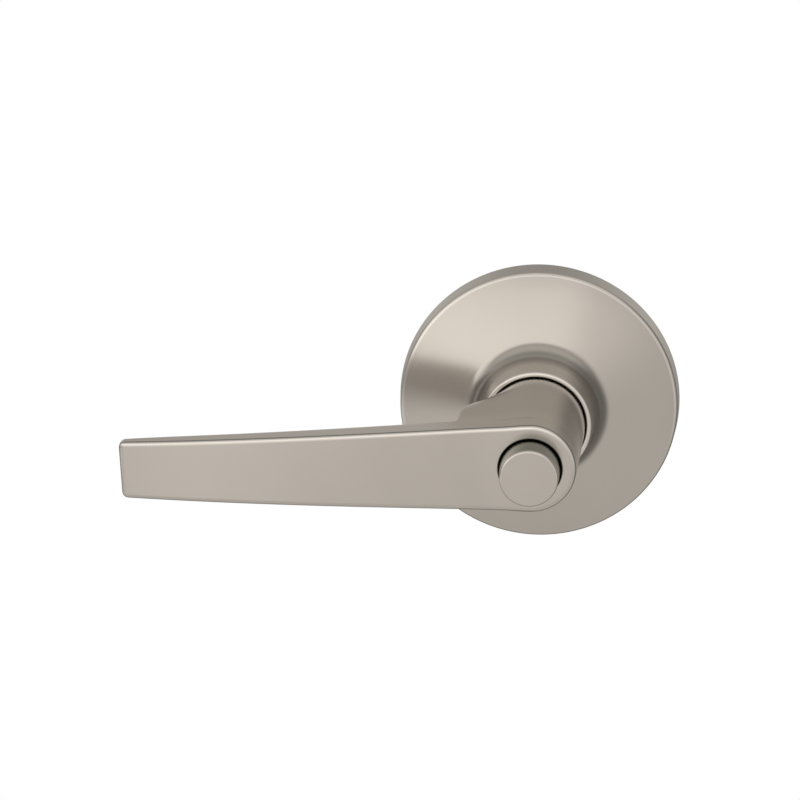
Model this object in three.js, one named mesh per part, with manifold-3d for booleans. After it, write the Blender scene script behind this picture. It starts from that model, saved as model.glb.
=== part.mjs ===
// Privacy door lever: the room-side half, with its round rose, lever, push button and inner works.
//
// Millimetres, +Z up. The origin is on the turning axis, at the door's face. The lever points
// along -X, and +Y runs into the door. Distance in front of the door's face is called "out", so
// out = -Y, and whatever sits in the door's bore has a negative out. Profiles are (radius, out).

import * as THREE from "three";
import { mergeVertices } from "three/addons/utils/BufferGeometryUtils.js";
import Module from "manifold-3d";

const wasm = await Module();
wasm.setup();

// ---- Driving dimensions ----

const GAP = 0.3; // between faces that touch

const ROSE_RADIUS = 34;
const ROSE_RIM_OUT = 5.8; // top of the rose's side wall
const ROSE_WALL = 1.1;
const COLLAR_OUT = 19.6; // lip of the rose's collar
const COLLAR_BORE = 12;

const NECK_RADIUS = 11.7; // lever's neck where it enters the collar
const HUB_BACK_RADIUS = 11; // level with the arm's back
const HUB_RADIUS = 10.3; // at the lever's front face
const HUB_OUT = 49.8;
const WEB_REACH = 16.9; // how far the web behind the arm spreads from the axis
const ARM_REACH = 94.2; // axis to tip
const ARM_ROOT_HALF_HEIGHT = 10.3;
const ARM_TIP_HALF_HEIGHT = 6.75;
const ARM_ROOT_DEPTH = 6.8;
const ARM_TIP_DEPTH = 3.6;
const EDGE_RADIUS = 0.5; // rounding of the lever's edges
const TURN_LIMIT = 45; // degrees each way

const BUTTON_RADIUS = 6.9;
const BUTTON_TAPER = 0.25; // how much narrower the button is at its face
const BUTTON_HOLE_RADIUS = 7.2;
const BUTTON_OUT = 56.2;
const BUTTON_TRAVEL = 3.5;

const PLATE_RADIUS = 31;
const PLATE_WALL = 1.6;
const PLATE_TOP_OUT = 3; // raised middle of the mounting plate
const BOLT_SPACING = 38; // centre to centre
const BOLT_RADIUS = 2;

const TUBE_RADIUS = 8;
const TUBE_BORE = 6.3;
const LEVER_BORE = TUBE_RADIUS + GAP;
const SPINDLE_SIDE = 7;
const ROD_RADIUS = 1.5;

const CAGE_BACK_OUT = -10.2;
const CAGE_RADIUS = 15.8;
const CAGE_WALL = 1.2;
const STOP_PIN_OFFSET = 13.2;
const STOP_PIN_RADIUS = 1;

const BOLT_TIP_OUT = -46;
const SPINDLE_TIP_OUT = -46;
const ROD_TIP_OUT = -50;

// ---- Making closed bodies ----

function signedVolume(geometry) {
  const position = geometry.getAttribute("position");
  const corner = [new THREE.Vector3(), new THREE.Vector3(), new THREE.Vector3()];
  let volume = 0;
  for (let i = 0; i < geometry.index.count; i += 3) {
    corner.forEach((c, k) => c.fromBufferAttribute(position, geometry.index.getX(i + k)));
    volume += corner[0].dot(corner[1].clone().cross(corner[2])) / 6;
  }
  return volume;
}

// Welds a surface along its seams and poles and turns its faces outwards.
function closedBody(surface) {
  surface.deleteAttribute("normal");
  surface.deleteAttribute("uv");
  const welded = mergeVertices(surface);
  const faces = [];
  for (let i = 0; i < welded.index.count; i += 3) {
    const [a, b, c] = [0, 1, 2].map((k) => welded.index.getX(i + k));
    if (a !== b && b !== c && c !== a) faces.push(a, b, c);
  }
  welded.setIndex(faces);
  if (signedVolume(welded) < 0) welded.setIndex(faces.reverse());
  welded.computeVertexNormals();
  return welded;
}

function toSolid(geometry) {
  const vertProperties = new Float32Array(geometry.getAttribute("position").array);
  const triVerts = new Uint32Array(geometry.index.array);
  return new wasm.Manifold(new wasm.Mesh({ numProp: 3, vertProperties, triVerts }));
}

function toGeometry(solid) {
  const mesh = solid.getMesh();
  const geometry = new THREE.BufferGeometry();
  geometry.setAttribute("position", new THREE.BufferAttribute(mesh.vertProperties, 3));
  geometry.setIndex(new THREE.BufferAttribute(mesh.triVerts, 1));
  geometry.computeVertexNormals();
  return geometry;
}

function joined(...geometries) {
  return toGeometry(geometries.map(toSolid).reduce((sum, solid) => sum.add(solid)));
}

function cut(geometry, ...tools) {
  return toGeometry(tools.map(toSolid).reduce((rest, tool) => rest.subtract(tool), toSolid(geometry)));
}

// ---- Shop operations ----

function outline(points) {
  const path = new THREE.Path();
  path.moveTo(...points[0]);
  points.slice(1).forEach((point) => path.lineTo(...point));
  return path;
}

// Turns a profile about the Y axis. It closes on itself, or starts and ends on the axis.
function turned(profile, around = 32) {
  const path = Array.isArray(profile) ? outline(profile) : profile;
  const points = path.getPoints(3).map((p) => new THREE.Vector2(p.x, -p.y));
  return closedBody(new THREE.LatheGeometry(points, around));
}

// A ring of rectangular section.
function ring(inner, outer, from, to, around = 24) {
  const corners = [[inner, from], [outer, from], [outer, to], [inner, to], [inner, from]];
  return turned(corners, around);
}

function cylinder(radius, from, to, around = 32) {
  return turned([[0, from], [radius, from], [radius, to], [0, to]], around);
}

// Extrudes an outline drawn in X and Z between two distances out.
function plate(shape, from, to, curveSegments = 8) {
  const depth = to - from;
  const solid = new THREE.ExtrudeGeometry(shape, { depth, bevelEnabled: false, curveSegments });
  return closedBody(solid.translate(0, 0, from).rotateX(Math.PI / 2));
}

function block(width, height, from, to, z = 0) {
  return closedBody(new THREE.BoxGeometry(width, to - from, height).translate(0, -(from + to) / 2, z));
}

function squareOutline(side, PathType) {
  const half = side / 2;
  const path = new PathType();
  path.moveTo(-half, -half).lineTo(half, -half).lineTo(half, half).lineTo(-half, half);
  return path.closePath();
}

// A snap ring: an open ring whose mouth faces down.
function snapRing(inner, outer, mouthDegrees, from, to) {
  const half = THREE.MathUtils.degToRad(mouthDegrees / 2);
  const shape = new THREE.Shape();
  shape.absarc(0, 0, outer, -Math.PI / 2 + half, 1.5 * Math.PI - half, false);
  shape.absarc(0, 0, inner, 1.5 * Math.PI - half, -Math.PI / 2 + half, true);
  return plate(shape.closePath(), from, to, 14);
}

// Skins a row of rings that all have the same number of points, and caps both ends.
function lofted(rings) {
  const count = rings[0].length;
  const faces = [];
  for (let r = 0; r + 1 < rings.length; r++) {
    for (let k = 0; k < count; k++) {
      const a = r * count + k;
      const b = r * count + ((k + 1) % count);
      faces.push(a, b, a + count, b, b + count, a + count);
    }
  }
  const last = (rings.length - 1) * count;
  for (let k = 1; k + 1 < count; k++) {
    faces.push(0, k + 1, k, last, last + k, last + k + 1);
  }
  const skin = new THREE.BufferGeometry().setFromPoints(rings.flat());
  skin.setIndex(faces);
  return closedBody(skin);
}

// Bends round wire along a centre line.
function wire(centreLine, radius, steps) {
  const section = new THREE.Shape();
  section.absarc(0, 0, radius, 0, 2 * Math.PI, false);
  const settings = { steps, curveSegments: 3, extrudePath: centreLine };
  return closedBody(new THREE.ExtrudeGeometry(section, settings));
}

function coilPoints(radius, turns, from, to, perTurn, startAngle) {
  const count = Math.round(turns * perTurn);
  return Array.from({ length: count + 1 }, (_, i) => {
    const angle = startAngle + (2 * Math.PI * turns * i) / count;
    const out = from + ((to - from) * i) / count;
    return new THREE.Vector3(radius * Math.cos(angle), -out, radius * Math.sin(angle));
  });
}

// ---- The assembly ----

const assembly = new THREE.Group();

const FINISH = {
  satinNickel: { color: 0xb8ae9f, roughness: 0.32, metalness: 1 },
  zincPlate: { color: 0xa9b0b2, roughness: 0.4, metalness: 1 },
  plainSteel: { color: 0x8f9396, roughness: 0.45, metalness: 1 },
  springSteel: { color: 0x6c7074, roughness: 0.35, metalness: 1 },
  castZinc: { color: 0x9a9b98, roughness: 0.55, metalness: 1 },
  whiteNylon: { color: 0xe6e2d8, roughness: 0.6, metalness: 0 },
  blackOxide: { color: 0x26272a, roughness: 0.5, metalness: 0.7 },
};

function add(name, geometry, finish, position = [0, 0, 0]) {
  const mesh = new THREE.Mesh(geometry, new THREE.MeshStandardMaterial(finish));
  mesh.name = name;
  mesh.position.set(...position);
  assembly.add(mesh);
}

// Rose cover: a spun shell that rises to a flared collar around the lever's neck.
function roseCover() {
  const lip = ROSE_WALL;
  const profile = new THREE.Path();
  profile.moveTo(ROSE_RADIUS, 0);
  profile.lineTo(ROSE_RADIUS - 0.6, ROSE_RIM_OUT - 0.9);
  profile.quadraticCurveTo(ROSE_RADIUS - 0.7, ROSE_RIM_OUT, ROSE_RADIUS - 1.7, ROSE_RIM_OUT + 0.2);
  profile.quadraticCurveTo(25, 8.05, 18.6, 9.55);
  profile.bezierCurveTo(15.7, 10.25, 14.3, 12.4, 13.85, 15.2);
  profile.lineTo(COLLAR_BORE + lip, COLLAR_OUT - 0.3);
  profile.lineTo(COLLAR_BORE + lip - 0.3, COLLAR_OUT);
  profile.lineTo(COLLAR_BORE, COLLAR_OUT);
  profile.lineTo(12.5, 15);
  profile.bezierCurveTo(12.9, 11.7, 14.6, 9.4, 18.2, 8.45);
  profile.quadraticCurveTo(25, 7, ROSE_RADIUS - 2.4, 4.9);
  profile.lineTo(ROSE_RADIUS - ROSE_WALL, 0);
  profile.closePath();
  return turned(profile, 48);
}

// Mounting plate: a stamped disc. Its rim lies on the door and its raised middle carries a socket
// for the neck bushing and takes the two through bolts.
function mountingPlate() {
  const rise = PLATE_TOP_OUT - PLATE_WALL;
  const socketOuter = 12;
  const socketInner = 10.8;
  const profile = [
    [PLATE_RADIUS, 0],
    [PLATE_RADIUS, PLATE_WALL],
    [25, PLATE_WALL],
    [23.8, PLATE_TOP_OUT],
    [socketOuter, PLATE_TOP_OUT],
    [socketOuter, 9],
    [socketInner, 9],
    [socketInner, rise],
    [22.9, rise],
    [23.9, 0],
    [PLATE_RADIUS, 0],
  ];
  const holes = [
    ...[-1, 1].map((side) => cylinder(2.4, -1, 5, 16).translate((side * BOLT_SPACING) / 2, 0, 0)),
    ...[-1, 1].map((side) => stopPinHole(0, 4.5).translate(0, 0, side * STOP_PIN_OFFSET)),
  ];
  return cut(turned(profile, 48), ...holes);
}

function stopPinHole(from, to) {
  return cylinder(STOP_PIN_RADIUS + GAP, from, to, 16);
}

// Spring cage: a drawn cup behind the mounting plate, in the door's bore.
function springCage() {
  const inside = CAGE_RADIUS - CAGE_WALL;
  const frontOut = PLATE_TOP_OUT - PLATE_WALL - GAP;
  const profile = [
    [LEVER_BORE, CAGE_BACK_OUT],
    [CAGE_RADIUS, CAGE_BACK_OUT],
    [CAGE_RADIUS, frontOut],
    [inside, frontOut],
    [inside, CAGE_BACK_OUT + CAGE_WALL],
    [LEVER_BORE, CAGE_BACK_OUT + CAGE_WALL],
    [LEVER_BORE, CAGE_BACK_OUT],
  ];
  const pinHoles = [-1, 1].map((side) =>
    stopPinHole(CAGE_BACK_OUT - 1, CAGE_BACK_OUT + 2).translate(0, 0, side * STOP_PIN_OFFSET),
  );
  return cut(turned(profile, 36), ...pinHoles);
}

// Stop pin: rivets the cage to the plate, stops the cam and anchors the spring's legs.
function stopPin() {
  const headOut = CAGE_BACK_OUT - GAP;
  const frontOut = PLATE_TOP_OUT + 0.4;
  const profile = [
    [0, headOut - 1],
    [1.5, headOut - 1],
    [1.9, headOut - 0.6],
    [1.9, headOut],
    [STOP_PIN_RADIUS, headOut],
    [STOP_PIN_RADIUS, frontOut],
    [0, frontOut],
  ];
  return turned(profile, 16);
}

// Neck bushing: a flanged nylon bearing in the plate's socket.
function neckBushing() {
  const body = 10.5;
  const flange = 11.9;
  const profile = [
    [LEVER_BORE, 1.8],
    [body, 1.8],
    [body, 9 + GAP],
    [flange, 9 + GAP],
    [flange, 10.8],
    [LEVER_BORE, 10.8],
    [LEVER_BORE, 1.8],
  ];
  return turned(profile, 36);
}

// Rose clip: a bent strip on the plate's rim that the rose cover snaps over.
function roseClip() {
  const strip = new THREE.Shape();
  strip.moveTo(26, 1.9).lineTo(30.7, 1.9).lineTo(31.6, 2.9).lineTo(30.9, 4);
  strip.lineTo(30.3, 3.6).lineTo(30.7, 2.9).lineTo(30.4, 2.6).lineTo(26, 2.6);
  const width = 7;
  const solid = new THREE.ExtrudeGeometry(strip.closePath(), { depth: width, bevelEnabled: false });
  return closedBody(solid.translate(0, 0, -width / 2).rotateX(Math.PI));
}

function throughBolt() {
  const seat = PLATE_TOP_OUT + 2 * GAP + 0.7;
  const profile = new THREE.Path();
  profile.moveTo(0, BOLT_TIP_OUT);
  profile.lineTo(BOLT_RADIUS - 0.5, BOLT_TIP_OUT);
  profile.lineTo(BOLT_RADIUS, BOLT_TIP_OUT + 0.6);
  profile.lineTo(BOLT_RADIUS, seat);
  profile.lineTo(3.8, seat);
  profile.lineTo(3.8, seat + 0.9);
  profile.quadraticCurveTo(3.4, seat + 2, 0, seat + 2);
  const recess = [0, Math.PI / 2].map((turn) => block(3.6, 0.8, seat + 0.9, seat + 3).rotateY(turn));
  return cut(turned(profile, 20), joined(...recess));
}

// Lever handle: a zinc casting. A round neck spreads through a web into a flat tapered arm.
function taper(x) {
  return -x / ARM_REACH;
}

function armHalfHeight(x) {
  return THREE.MathUtils.lerp(ARM_ROOT_HALF_HEIGHT, ARM_TIP_HALF_HEIGHT, taper(x));
}

function leverArm() {
  const frontLine = new THREE.SplineCurve([
    new THREE.Vector2(0, HUB_OUT),
    new THREE.Vector2(-22, HUB_OUT + 0.4),
    new THREE.Vector2(-48, HUB_OUT + 1),
    new THREE.Vector2(-72, HUB_OUT + 0.8),
    new THREE.Vector2(-ARM_REACH, HUB_OUT - 0.5),
  ]);
  const tipRadius = 1.4;
  const stations = [];
  for (let angle = 0; angle < Math.PI / 2; angle += Math.PI / 8) {
    const inset = tipRadius * (1 - Math.sin(angle));
    stations.push([-ARM_REACH + tipRadius * (1 - Math.cos(angle)), inset]);
  }
  for (let share = 0; share <= 1; share += 0.125) {
    stations.push([(-ARM_REACH + tipRadius) * (1 - share), 0]);
  }
  const rings = stations.map(([x, inset]) => {
    const front = frontLine.getPoint(taper(x)).y;
    const depth = THREE.MathUtils.lerp(ARM_ROOT_DEPTH, ARM_TIP_DEPTH, taper(x));
    const half = armHalfHeight(x) - inset;
    return armSection(half, front - depth, front).map((p) => new THREE.Vector3(x, -p.y, p.x));
  });
  return lofted(rings);
}

// The arm's cross-section: a rectangle with rounded corners.
function armSection(half, back, front) {
  const section = new THREE.Path();
  const cornerX = half - EDGE_RADIUS;
  const quarter = Math.PI / 2;
  section.absarc(cornerX, back + EDGE_RADIUS, EDGE_RADIUS, -quarter, 0, false);
  section.absarc(cornerX, front - EDGE_RADIUS, EDGE_RADIUS, 0, quarter, false);
  section.absarc(-cornerX, front - EDGE_RADIUS, EDGE_RADIUS, quarter, 2 * quarter, false);
  section.absarc(-cornerX, back + EDGE_RADIUS, EDGE_RADIUS, 2 * quarter, 3 * quarter, false);
  return section.getPoints(2);
}

const HUB_BACK_OUT = HUB_OUT - ARM_ROOT_DEPTH;

function neckRadius(out) {
  const share = Math.max(0, (out - COLLAR_OUT) / (HUB_BACK_OUT - COLLAR_OUT));
  return THREE.MathUtils.lerp(NECK_RADIUS, HUB_BACK_RADIUS, share);
}

// Neck and web. Each section is a circle on the right; on the left it squares off and spreads.
function leverNeck(endOut) {
  const levels = [endOut, 16, COLLAR_OUT, 22, 24.5, 27, 29.5, 32, 35, 38.5, HUB_BACK_OUT + 1.5];
  const around = 40;
  const rings = levels.map((out) => {
    const rise = THREE.MathUtils.smoothstep(out, COLLAR_OUT - 0.6, 33);
    const square = 2 + 4 * THREE.MathUtils.smoothstep(out, COLLAR_OUT, 32);
    const radius = neckRadius(out);
    const spread = THREE.MathUtils.lerp(radius, WEB_REACH, rise);
    return Array.from({ length: around }, (_, k) => {
      const angle = (2 * Math.PI * k) / around;
      const [c, s] = [Math.cos(angle), Math.sin(angle)];
      const left = c < -1e-6;
      const x = left ? -spread * Math.pow(-c, 2 / square) : radius * c;
      const z = left ? Math.sign(s) * Math.pow(Math.abs(s), 2 / square) * radius : radius * s;
      const narrowing = left ? armHalfHeight(x) / ARM_ROOT_HALF_HEIGHT : 1;
      return new THREE.Vector3(x, -out, z * narrowing);
    });
  });
  return lofted(rings);
}

function leverHandle() {
  const endOut = 11.2;
  const buttonBoreOut = 33;
  const hub = new THREE.Path();
  hub.moveTo(0, 38);
  hub.lineTo(neckRadius(38), 38);
  hub.lineTo(HUB_BACK_RADIUS, HUB_BACK_OUT);
  hub.lineTo(HUB_RADIUS, HUB_OUT - EDGE_RADIUS);
  hub.absarc(HUB_RADIUS - EDGE_RADIUS, HUB_OUT - EDGE_RADIUS, EDGE_RADIUS, 0, Math.PI / 2, false);
  hub.lineTo(0, HUB_OUT);
  const body = joined(leverNeck(endOut), turned(hub, 48), leverArm());
  return cut(
    body,
    cylinder(LEVER_BORE, endOut - 1, buttonBoreOut, 36),
    cylinder(BUTTON_HOLE_RADIUS, buttonBoreOut - 1, HUB_OUT + 1, 40),
    onNeckUnderside(cylinder(2.5, 0, 14, 16)),
  );
}

const SET_SCREW_OUT = 25.5;

// Turns a body on the Y axis to point down from the lever's axis.
function onNeckUnderside(geometry) {
  return geometry.rotateX(Math.PI / 2).translate(0, -SET_SCREW_OUT, 0);
}

// Set screw: threaded up through the neck's underside onto the drive tube.
function setScrew() {
  const [inner, outer] = [TUBE_RADIUS + GAP, 11];
  const profile = [[0, inner], [1.6, inner], [2.2, inner + 0.5], [2.2, outer], [0, outer]];
  const socket = cylinder(1.25, outer - 1.6, outer + 1, 6);
  return onNeckUnderside(cut(turned(profile, 16), socket));
}

// Drive tube: carries the lever through the bushing and turns the cam and the spindle.
const RING_GROOVE = { radius: 7.2, from: -13.1, to: -11.7 };

function driveTube() {
  const [endOut, wallOut, frontOut] = [-14.5, -9, 30.8];
  const profile = [
    [0, endOut],
    [TUBE_RADIUS, endOut],
    [TUBE_RADIUS, RING_GROOVE.from],
    [RING_GROOVE.radius, RING_GROOVE.from],
    [RING_GROOVE.radius, RING_GROOVE.to],
    [TUBE_RADIUS, RING_GROOVE.to],
    [TUBE_RADIUS, frontOut],
    [TUBE_BORE, frontOut],
    [TUBE_BORE, wallOut],
    [0, wallOut],
  ];
  const side = SPINDLE_SIDE + 2 * GAP;
  return cut(turned(profile, 36), block(side, side, endOut - 1, wallOut + 1));
}

// Return cam: two wide lugs swing between the stop pins, and a finger winds the spring.
const CAM = { from: -1.4, to: 0.6, disc: 11.9, lug: 13.9 };
const FINGER = { inner: 10.7, outer: 11.8, width: 2.4, tipOut: -8.2 };

function returnCam() {
  const pinHalfAngle = Math.asin(STOP_PIN_RADIUS / STOP_PIN_OFFSET);
  const margin = THREE.MathUtils.degToRad(1.5);
  const lug = Math.PI / 2 - THREE.MathUtils.degToRad(TURN_LIMIT) - pinHalfAngle - margin;
  const shape = new THREE.Shape();
  for (const middle of [0, Math.PI]) {
    shape.absarc(0, 0, CAM.lug, middle - lug, middle + lug, false);
    shape.absarc(0, 0, CAM.disc, middle + lug, middle + Math.PI - lug, false);
  }
  const bore = new THREE.Path();
  bore.absarc(0, 0, LEVER_BORE, 0, 2 * Math.PI, false);
  shape.closePath().holes.push(bore);
  const height = FINGER.outer - FINGER.inner;
  const middle = (FINGER.outer + FINGER.inner) / 2;
  const finger = block(FINGER.width, height, FINGER.tipOut, CAM.from + 1, middle);
  return joined(plate(shape, CAM.from, CAM.to, 10), finger);
}

// Return spring: a torsion coil around the drive tube. One leg each side of the upper stop pin.
function returnSpring() {
  const [wireRadius, coilRadius, legTip] = [0.6, 9.2, 13.8];
  const legOffset = FINGER.width / 2 + 2 * GAP + wireRadius;
  const startAngle = Math.acos(legOffset / coilRadius);
  const turns = 4 + (Math.PI - 2 * startAngle) / (2 * Math.PI);
  const [frontOut, backOut] = [-2.5, -8.3];
  const coil = coilPoints(coilRadius, turns, frontOut, backOut, 16, startAngle);
  const leg = (side, out, z) => new THREE.Vector3(side * legOffset, -out, z);
  const bend = coilRadius + 1.1;
  const centreLine = new THREE.CatmullRomCurve3([
    leg(1, frontOut, legTip),
    leg(1, frontOut, bend),
    ...coil.slice(1, -1),
    leg(-1, backOut, bend),
    leg(-1, backOut, legTip),
  ]);
  return wire(centreLine, wireRadius, 90);
}

function spindle() {
  const shape = squareOutline(SPINDLE_SIDE, THREE.Shape);
  const bore = new THREE.Path();
  bore.absarc(0, 0, ROD_RADIUS + 0.6, 0, 2 * Math.PI, false);
  shape.holes.push(bore);
  return plate(shape, SPINDLE_TIP_OUT, 12);
}

// Spindle collar: pressed on the spindle, it stops it from sliding out through the tube's end.
function spindleCollar() {
  const shape = new THREE.Shape();
  shape.absarc(0, 0, TUBE_BORE - GAP, 0, 2 * Math.PI, false);
  shape.holes.push(squareOutline(SPINDLE_SIDE + 2 * GAP, THREE.Path));
  return plate(shape, -8.7, -5, 12);
}

// Button guide: a nylon seat for the button's spring, clamped between lever and drive tube.
const GUIDE = { backOut: 31.1, floorOut: 32.6, rimOut: 38.5 };

function buttonGuide() {
  const hole = ROD_RADIUS + GAP;
  const [flange, sleeve, inside] = [TUBE_RADIUS, BUTTON_RADIUS, 5.5];
  const profile = [
    [hole, GUIDE.backOut],
    [flange, GUIDE.backOut],
    [flange, GUIDE.floorOut + 0.1],
    [sleeve, GUIDE.floorOut + 0.1],
    [sleeve, GUIDE.rimOut],
    [inside, GUIDE.rimOut],
    [inside, GUIDE.floorOut],
    [hole, GUIDE.floorOut],
    [hole, GUIDE.backOut],
  ];
  return turned(profile);
}

// Push button: a hollow cap with a socket inside for the lock rod.
const CAP_TOP_OUT = BUTTON_OUT - 2.75; // inner face of the cap's end wall

function buttonCap() {
  const edge = 0.6;
  const skirtOut = GUIDE.rimOut + BUTTON_TRAVEL + GAP;
  const [inside, bossOuter, bossInner, bossOut] = [5.8, 2.9, ROD_RADIUS + GAP, 45];
  const profile = new THREE.Path();
  profile.moveTo(0, CAP_TOP_OUT - 0.5);
  profile.lineTo(bossInner, CAP_TOP_OUT - 0.5);
  profile.lineTo(bossInner, bossOut);
  profile.lineTo(bossOuter, bossOut);
  profile.lineTo(bossOuter, CAP_TOP_OUT);
  profile.lineTo(inside, CAP_TOP_OUT);
  profile.lineTo(inside, skirtOut);
  profile.lineTo(BUTTON_RADIUS, skirtOut);
  profile.lineTo(BUTTON_RADIUS, HUB_OUT);
  profile.absarc(BUTTON_RADIUS - BUTTON_TAPER - edge, BUTTON_OUT - edge, edge, 0, Math.PI / 2, false);
  profile.lineTo(0, BUTTON_OUT);
  return turned(profile, 40);
}

// Lock rod: joins the button to the lock on the far side of the door.
const CLIP_GROOVE = { radius: 1.1, from: 29.7, to: 30.9 };

function lockRod() {
  const frontOut = CAP_TOP_OUT - 0.5 - GAP;
  const profile = [
    [0, ROD_TIP_OUT],
    [ROD_RADIUS - 0.4, ROD_TIP_OUT],
    [ROD_RADIUS, ROD_TIP_OUT + 0.4],
    [ROD_RADIUS, CLIP_GROOVE.from],
    [CLIP_GROOVE.radius, CLIP_GROOVE.from],
    [CLIP_GROOVE.radius, CLIP_GROOVE.to],
    [ROD_RADIUS, CLIP_GROOVE.to],
    [ROD_RADIUS, frontOut],
    [0, frontOut],
  ];
  return turned(profile, 16);
}

function buttonSpring() {
  const [wireRadius, coilRadius, turns, perTurn] = [0.4, 4.35, 7, 12];
  const from = GUIDE.floorOut + wireRadius + 0.1;
  const to = CAP_TOP_OUT - wireRadius - 0.1;
  const centreLine = new THREE.CatmullRomCurve3(coilPoints(coilRadius, turns, from, to, perTurn, 0));
  return wire(centreLine, wireRadius, turns * perTurn);
}

// ---- Fixed to the door ----

add("rose_cover", roseCover(), FINISH.satinNickel);
add("mounting_plate", mountingPlate(), FINISH.zincPlate);
add("spring_cage", springCage(), FINISH.zincPlate);
add("neck_bushing", neckBushing(), FINISH.whiteNylon);
add("return_spring", returnSpring(), FINISH.springSteel);
for (const [side, z] of [["upper", STOP_PIN_OFFSET], ["lower", -STOP_PIN_OFFSET]]) {
  add(`stop_pin_${side}`, stopPin(), FINISH.plainSteel, [0, 0, z]);
}
for (const [side, x] of [["left", -BOLT_SPACING / 2], ["right", BOLT_SPACING / 2]]) {
  const washer = ring(2.4, 4.2, PLATE_TOP_OUT + GAP, PLATE_TOP_OUT + GAP + 0.7, 20);
  add(`bolt_washer_${side}`, washer, FINISH.plainSteel, [x, 0, 0]);
  add(`through_bolt_${side}`, throughBolt(), FINISH.zincPlate, [x, 0, 0]);
}
for (const [place, degrees] of [["top", 90], ["left", 210], ["right", 330]]) {
  const clip = roseClip().rotateY(-THREE.MathUtils.degToRad(degrees));
  add(`rose_clip_${place}`, clip, FINISH.springSteel);
}

// ---- Turning with the lever ----

add("lever_handle", leverHandle(), FINISH.satinNickel);
add("drive_tube", driveTube(), FINISH.castZinc);
add("return_cam", returnCam(), FINISH.plainSteel);
add("thrust_washer", ring(LEVER_BORE, 11, -11.5, CAGE_BACK_OUT - GAP), FINISH.plainSteel);
add("retaining_ring", snapRing(7.5, 10.2, 40, -12.9, -11.9), FINISH.springSteel);
add("spindle", spindle(), FINISH.plainSteel);
add("spindle_collar", spindleCollar(), FINISH.plainSteel);
add("lever_set_screw", setScrew(), FINISH.blackOxide);
add("button_guide", buttonGuide(), FINISH.whiteNylon);

// ---- Sliding with the button ----

add("button_cap", buttonCap(), FINISH.satinNickel);
add("lock_rod", lockRod(), FINISH.plainSteel);
add("rod_clip", snapRing(1.4, 3.4, 60, 29.9, 30.7), FINISH.springSteel);
add("button_spring", buttonSpring(), FINISH.springSteel);

export default assembly;
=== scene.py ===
"""Privacy door lever: a satin nickel rose, lever and push button, with the works behind them."""

import math

import bpy
from mathutils import Matrix, Vector


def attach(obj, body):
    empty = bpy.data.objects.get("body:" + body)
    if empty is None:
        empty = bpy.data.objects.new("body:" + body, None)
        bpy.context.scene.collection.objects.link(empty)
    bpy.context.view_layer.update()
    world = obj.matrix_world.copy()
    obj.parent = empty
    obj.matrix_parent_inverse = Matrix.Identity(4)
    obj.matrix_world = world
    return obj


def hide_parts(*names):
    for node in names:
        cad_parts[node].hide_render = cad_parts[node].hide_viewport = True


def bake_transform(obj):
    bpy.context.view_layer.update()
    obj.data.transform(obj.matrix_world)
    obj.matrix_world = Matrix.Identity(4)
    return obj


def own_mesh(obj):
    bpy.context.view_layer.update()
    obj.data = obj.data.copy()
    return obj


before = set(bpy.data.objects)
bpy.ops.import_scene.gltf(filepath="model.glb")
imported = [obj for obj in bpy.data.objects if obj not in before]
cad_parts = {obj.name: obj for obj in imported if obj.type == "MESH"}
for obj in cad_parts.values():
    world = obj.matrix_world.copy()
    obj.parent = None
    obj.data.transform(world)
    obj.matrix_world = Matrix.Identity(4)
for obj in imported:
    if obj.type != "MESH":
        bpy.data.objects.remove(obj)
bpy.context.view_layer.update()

# The camera. It stands in front of the door, a little above the lever and to its right, and
# looks at the middle of the lever.

MM = 0.001
camera_azimuth = math.radians(2.87)
camera_elevation = math.radians(18.65)
camera_distance = 634.7 * MM
camera_aim = Vector((-34.14, 0, -0.07)) * MM
camera_roll = math.radians(-2.35)
camera_lens = 117

bpy.ops.object.camera_add()
camera = bpy.context.object
camera.location = camera_distance * Vector(
    (
        math.sin(camera_azimuth) * math.cos(camera_elevation),
        -math.cos(camera_azimuth) * math.cos(camera_elevation),
        math.sin(camera_elevation),
    )
)
looking = (camera_aim - camera.location).to_track_quat("-Z", "Y").to_matrix()
camera.rotation_euler = (looking @ Matrix.Rotation(camera_roll, 3, "Z")).to_euler()
camera.data.lens = camera_lens
camera.data.clip_start = 0.01
bpy.context.scene.camera = camera
bpy.context.scene.view_settings.view_transform = "Standard"


# The studio. The metal reflects a room of soft light: grey walls, a broad lamp in front, and a
# dark gap below it on the left. The camera sees a white floor and backdrop instead.


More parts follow.
